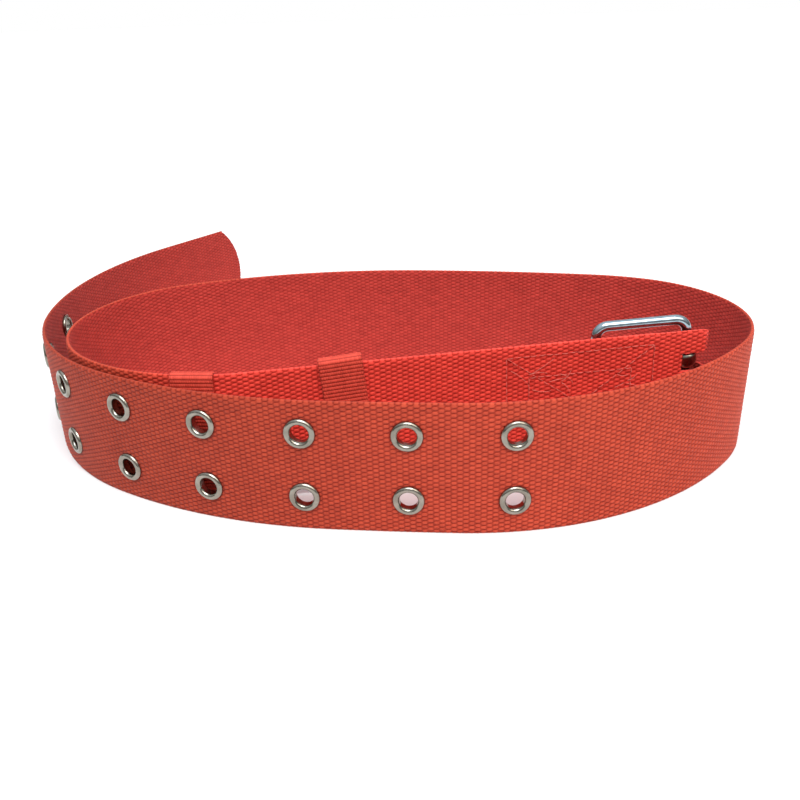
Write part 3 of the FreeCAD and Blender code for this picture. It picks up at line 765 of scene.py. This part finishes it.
def stitches():
    """Short stitches along every row, on both faces, with ends that sink into the cloth."""
    shares = np.array([0.0, 0.10, 0.30, 0.50, 0.70, 0.90, 1.0])
    arch = np.sin(math.pi * shares) ** STITCH_FULL
    paths = []
    faces = ((HALF, 1), (-(3 * HALF + LAYER_GAP), -1))
    for base, side in faces:
        for a, b in stitch_rows():
            count = max(2, round(math.dist(a, b) / STITCH_PITCH))
            for number in range(count):
                shift = random.uniform(-STITCH_GAP, STITCH_GAP)
                sway = random.uniform(-STITCH_SWAY, STITCH_SWAY)
                along = (number + STITCH_GAP + shift + (1 - 2 * STITCH_GAP) * shares) / count
                before = a[0] + (b[0] - a[0]) * along
                height = a[1] + (b[1] - a[1]) * along + sway
                high = STITCH_ARCH[0] + random.uniform(0, STITCH_ARCH[1])
                outward = base + side * (high * arch - STITCH_SUNK)
                paths.append(on_chord(before, height, outward))
    flats = np.repeat(CHORD_OUT[None, :], len(paths), axis=0)
    radii = THREAD_RADIUS * np.stack([THREAD_END + (1 - THREAD_END) * arch] * 2, axis=1)
    thing = tubes("box_stitching", np.array(paths), radii, sides=8, flats=flats)
    wear(thing, THREAD)
    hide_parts("box_stitch_thread")
    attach(thing, "strap")


def wisps():
    """Frayed ends of thread that lie loose over the stitching."""
    shares = np.linspace(0, 1, 9)
    paths = []
    for distances, heights, count in WISP_CLUSTERS:
        for _ in range(count):
            before = random.uniform(*distances)
            height = random.uniform(*heights)
            heading = random.uniform(-WISP_TURN, WISP_TURN)
            length = random.uniform(*WISP_LENGTH)
            bend = random.uniform(-WISP_BEND, WISP_BEND)
            turn = heading + bend * shares
            step = length / (len(shares) - 1)
            across = before - np.cumsum(np.cos(turn)) * step
            up = height + np.cumsum(np.sin(turn)) * step
            lift = HALF + WISP_OVER + random.uniform(*WISP_ARCH) * np.sin(math.pi * shares)
            paths.append(on_chord(across, up, lift))
    flats = np.repeat(CHORD_OUT[None, :], len(paths), axis=0)
    radii = WISP_RADIUS * np.stack([1 - WISP_TAPER * shares] * 2, axis=1)
    thing = tubes("loose_thread_ends", np.array(paths), radii, sides=5, flats=flats)
    wear(thing, THREAD_ENDS)
    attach(thing, "strap")


# ---- keepers ----
def rounded_loop(deep, tall, corner, count):
    """A rounded rectangle from the middle of its back side round to it again, and its outward normals."""
    upright = tall - 2 * corner
    level = deep - 2 * corner
    straight = [upright / 2, level, upright, level, upright / 2]
    turn = corner * math.pi / 2
    total = sum(straight) + 4 * turn
    lengths = np.linspace(0, total, count + 1)
    x, y = -deep / 2, 0.0
    heading = math.pi / 2
    points = np.zeros((count + 1, 2))
    normals = np.zeros((count + 1, 2))
    begun = 0.0
    for number, side in enumerate(straight):
        here = lengths >= begun
        part = lengths[here] - begun
        points[here] = np.stack([x + part * math.cos(heading), y + part * math.sin(heading)], 1)
        normals[here] = (-math.sin(heading), math.cos(heading))
        x, y = x + side * math.cos(heading), y + side * math.sin(heading)
        begun += side
        if number < 4:
            here = lengths >= begun
            angle = heading - (lengths[here] - begun) / corner
            centre = (x + corner * math.sin(heading), y - corner * math.cos(heading))
            normals[here] = np.stack([-np.sin(angle), np.cos(angle)], 1)
            points[here] = np.array(centre) + corner * normals[here]
            heading -= math.pi / 2
            x, y = centre[0] - corner * math.sin(heading), centre[1] + corner * math.cos(heading)
            begun += turn
    return points, normals, lengths


def keeper(node, depth, lean):
    """A loop of thin ribbed tape round the strap, in its CAD solid's place."""
    low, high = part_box(node)
    middle = np.array((low + high) / 2)
    runs = np.linspace(CHORD_START - KEEPER_SEARCH, BAR, 4000)
    x, y, headings = mid_line(runs, START)
    heading = headings[np.argmin(np.hypot(x - middle[0], y - middle[1]))]
    ahead, up, out = strap_axes(heading, lean)
    tall = ((high.z - low.z) - KEEPER_WIDTH * math.sin(lean)) / math.cos(lean)
    tape = KEEPER_THICK
    ribs = round(2 * (tall + depth) / RIB_PITCH)
    points, normals, lengths = rounded_loop(depth - tape, tall - tape, KEEPER_CORNER, ribs * RIB_SAMPLES)
    columns = len(lengths) - 1
    rows = round(KEEPER_WIDTH / GRAIN_PITCH * GRAIN_SAMPLES)
    across = np.linspace(-KEEPER_WIDTH / 2 + EDGE, KEEPER_WIDTH / 2 - EDGE, rows + 1)
    length = np.repeat(lengths[:, None], rows + 1, axis=1)
    width = np.repeat(across[None, :], columns + 1, axis=0)
    rib = length / lengths[-1] * ribs
    ridge = np.sqrt(np.abs(np.sin(math.pi * rib)))
    offset = 0.5 * (np.floor(rib) % 2)
    yarn = np.sqrt(np.abs(np.cos(math.pi * (width / GRAIN_PITCH + offset))))
    relief = RIB_DEPTH * (ridge - 1) + GRAIN_DEPTH * (yarn - 1)
    # painted shade in the valleys between the ribs and between the small yarns
    weave_light = TAPE_CREVICE_LIGHT + (1 - TAPE_CREVICE_LIGHT) * ridge * (1 - TAPE_GRAIN_SHADE * (1 - yarn))
    tone = grain(np.floor(rib), np.floor(width / GRAIN_PITCH + offset + 0.5))

    def place(outside, at):
        base = points[:, None, :] + normals[:, None, :] * outside[..., None]
        return middle + base[..., :1] * out + base[..., 1:] * up + at[..., None] * ahead

    def edge_line(at, outside):
        shape = (columns + 1, 1)
        return place(np.full(shape, outside), np.full(shape, -at))[:, 0]

    outer = place(tape / 2 + TAPE_CROWN + relief, -width)
    inner = place(-tape / 2 + TAPE_CLEAR - TAPE_INNER * relief, -width)
    low_rim = rolled_rim(edge_line, across[0], tape / 2 - RIM_INSET, -TAPE_BULGE)
    high_rim = rolled_rim(edge_line, across[-1], tape / 2 - RIM_INSET, TAPE_BULGE)
    present = np.ones((columns, rows), bool)
    spot = np.stack([length, width, np.zeros(width.shape)], axis=-1)
    attributes = {
        "crown": (weave_light, weave_light),
        "tone": (tone, tone),
        "place": (spot, spot + TAPE_INNER_PLACE),
        "tint": (np.ones(spot.shape),) * 2,
    }
    thing = cloth_sheet(node + "_tape", outer, inner, low_rim, high_rim, present, attributes, bands=1)
    wear(thing, TAPE)
    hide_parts(node)
    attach(thing, node)


# ---- metal ----
def frame_axes():
    """The buckle frame's own axes: to the far bar, to the left of that, and up the heel bar."""
    heading = CHORD_HEADING + math.radians(FOLD_BACK)
    lean = math.radians(FRAME_LEAN)
    flat = np.array([math.cos(heading), math.sin(heading), 0.0])
    rise = np.array([0.0, 0.0, 1.0])
    ahead = flat * math.cos(lean) - rise * math.sin(lean)
    up = flat * math.sin(lean) + rise * math.cos(lean)
    return ahead, np.cross(up, ahead), up


def prong(node, height):
    """A prong of flat stock: curled round the heel bar, then drawn out to a round tongue."""
    ahead, left, up = frame_axes()
    bar = on_chord(BAR_SLACK, WIDTH / 2, -BAR_INSIDE) + (height - WIDTH / 2) * up
    curl = np.radians(np.linspace(*PRONG_ARC, PRONG_STEPS[0]))
    curl_points = [bar + PRONG_CURL * (math.cos(a) * ahead + math.sin(a) * left) for a in curl]
    reach = np.linspace(PRONG_START, PRONG_REACH, PRONG_STEPS[1])
    beside = PRONG_CURL + (PRONG_SIDE - PRONG_CURL) * smoothstep(0, PRONG_EASE, reach)
    tongue_points = [bar + r * ahead - b * left for r, b in zip(reach, beside)]
    neck = smoothstep(*PRONG_NECK, reach)
    past_tip = ((reach - (PRONG_REACH - PRONG_ROUND)) / PRONG_ROUND).clip(0)
    tip = np.sqrt(np.clip(1 - past_tip ** 2, 0.01, None))
    widths = []
    for size in PRONG_FLAT:
        drawn = (size + (PRONG_ROUND - size) * neck) * tip
        width = np.concatenate([np.full(len(curl), size), drawn])
        width[0] *= PRONG_PINCH
        widths.append(width)
    path = np.array(curl_points + tongue_points)
    thing = tubes(node + "_metal", path[None], np.stack(widths, 1), sides=24, flats=up[None, :])
    wear(thing, NICKEL)
    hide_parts(node)
    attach(thing, node)


def metal_nodes():
    """The eyelets, their washers and the buckle frame show as their CAD shapes."""
    for name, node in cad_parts.items():
        if name.startswith(("eyelet_", "washer_")):
            wear(node, NICKEL)
        elif name == "buckle_frame":
            wear(node, CHROME)


# ---- studio ----
def sun(name, elevation, azimuth, strength, softness, colour):
    """A wide soft lamp that lights the whole floor evenly. Azimuth 0 is straight behind the camera."""
    data = bpy.data.lights.new(name, "SUN")
    data.energy = strength
    data.angle = math.radians(softness)
    data.color = colour
    lamp = bpy.data.objects.new(name, data)
    rise, side = math.radians(elevation), math.radians(azimuth)
    toward = Vector((math.sin(side) * math.cos(rise), -math.cos(side) * math.cos(rise), math.sin(rise)))
    lamp.rotation_euler = toward.to_track_quat("Z", "Y").to_euler()
    bpy.context.scene.collection.objects.link(lamp)


def studio():
    """A world that is bright overhead and dim at the horizon, white to the camera, and soft lamps."""
    world = bpy.data.worlds.new("studio")
    bpy.context.scene.world = world
    world.use_nodes = True
    tree = world.node_tree
    nodes = tree.nodes
    background = nodes["Background"]
    output = nodes["World Output"]
    direction = nodes.new("ShaderNodeTexCoord")
    parts = nodes.new("ShaderNodeSeparateXYZ")
    ramp = nodes.new("ShaderNodeValToRGB")
    horizon, zenith = ramp.color_ramp.elements
    horizon.position = 0.10
    horizon.color = HORIZON
    zenith.position = 0.80
    zenith.color = ZENITH
    white = nodes.new("ShaderNodeBackground")
    white.inputs["Color"].default_value = (1, 1, 1, 1)
    rays = nodes.new("ShaderNodeLightPath")
    either = nodes.new("ShaderNodeMixShader")
    tree.links.new(direction.outputs["Generated"], parts.inputs[0])
    tree.links.new(parts.outputs["Z"], ramp.inputs[0])
    tree.links.new(ramp.outputs[0], background.inputs["Color"])
    tree.links.new(rays.outputs["Is Camera Ray"], either.inputs[0])
    tree.links.new(background.outputs[0], either.inputs[1])
    tree.links.new(white.outputs[0], either.inputs[2])
    tree.links.new(either.outputs[0], output.inputs["Surface"])
    sun("top", elevation=66, azimuth=2, strength=2.7, softness=40, colour=(0.98, 0.99, 1.0))
    sun("key", elevation=45, azimuth=50, strength=0.6, softness=30, colour=(1.0, 0.88, 0.72))


def floor():
    """A plain pale floor under the belt."""
    bpy.ops.mesh.primitive_circle_add(vertices=96, radius=FLOOR_RADIUS, fill_type="NGON",
                                      location=(0, 0, cad_low.z - FLOOR_DROP))
    ground = bpy.context.object
    ground.name = "floor"
    shader = Shader("floor_paper", Roughness=0.7, Specular_IOR_Level=0.2)
    place = shader.node("TexCoord").outputs["Object"]
    paper = shader.ramp(shader.noise(place, 3.0), (0.3, (0.79, 0.79, 0.79)), (0.7, (0.81, 0.81, 0.81)))
    shader.link(paper, shader.principled.inputs["Base Color"])
    wear(ground, shader.material)


def camera():
    """A camera in front of the belt that looks down at it, turned a little about its own axis."""
    data = bpy.data.cameras.new("camera")
    data.lens = CAMERA_LENS
    data.sensor_width = CAMERA_SENSOR
    data.clip_start = 0.01
    data.clip_end = 100
    thing = bpy.data.objects.new("camera", data)
    tilt = Matrix.Rotation(math.radians(90 - CAMERA_DOWN), 4, "X")
    roll = Matrix.Rotation(math.radians(-CAMERA_ROLL), 4, "Z")
    thing.matrix_world = Matrix.Translation(CAMERA_AT) @ tilt @ roll
    bpy.context.scene.collection.objects.link(thing)
    bpy.context.scene.camera = thing
    bpy.context.scene.view_settings.view_transform = "Standard"


WEBBING = cloth("webbing", (0.12, 0.004, 0.002), (0.36, 0.026, 0.012), (0.60, 0.068, 0.034))
TAPE = cloth("keeper_tape", (0.12, 0.005, 0.003), (0.42, 0.032, 0.018), (0.76, 0.080, 0.048))
THREAD = thread_material("thread", (0.60, 0.060, 0.040), (0.85, 0.20, 0.15))
THREAD_ENDS = thread_material("thread_ends", (0.80, 0.18, 0.13), (0.90, 0.32, 0.25))
NICKEL = metal("nickel", (0.225, 0.205, 0.17), (0.37, 0.34, 0.29), (0.14, 0.28), 0.5)
CHROME = metal("chrome", (0.30, 0.38, 0.43), (0.44, 0.53, 0.59), (0.08, 0.17), 0.25)

strap()
stitches()
wisps()
for keeper_node, (keeper_depth, keeper_lean) in KEEPERS.items():
    keeper(keeper_node, keeper_depth, math.radians(keeper_lean))
for prong_node, slot_rise in zip(("prong_lower", "prong_upper"), SLOT_RISES):
    prong(prong_node, slot_rise)
metal_nodes()
floor()
studio()
camera()
